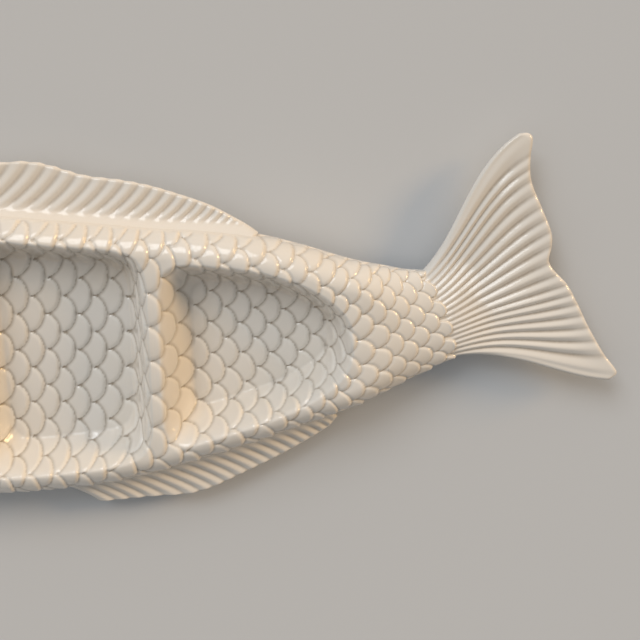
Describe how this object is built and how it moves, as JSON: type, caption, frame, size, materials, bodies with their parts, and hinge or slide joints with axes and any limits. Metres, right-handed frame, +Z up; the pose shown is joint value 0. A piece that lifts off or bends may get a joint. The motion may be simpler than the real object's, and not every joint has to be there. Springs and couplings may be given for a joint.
{
  "type": "serving platter",
  "caption": "Fish shaped serving platter with sunken compartments, scaled and ribbed relief, fanned tail and foot rings, in glazed white earthenware.",
  "frame": {"origin": "on the table plane, below the centre of the overall length and width", "axes": "+X from the snout to the tail, +Y towards the back of the fish, +Z up from the table"},
  "size_m": [0.6286, 0.2331, 0.0397],
  "materials": {
    "glaze": "clear gloss glaze over cream white earthenware, thinner and warmer on edges, grey-beige where it pools in creases",
    "bare_clay": "unglazed, fired, slightly rough"
  },
  "bodies": {
    "root": {"head": "glaze", "eye": "glaze", "front_compartment": "glaze", "middle_compartment": "glaze", "rear_compartment": "glaze", "tail_stock": "glaze", "tail_fin": "glaze", "dorsal_fin": "glaze", "anal_fin": "glaze", "pelvic_fin": "glaze", "front_foot_ring": "bare_clay", "middle_foot_ring": "bare_clay", "rear_foot_ring": "bare_clay"}
  },
  "joints": []
}
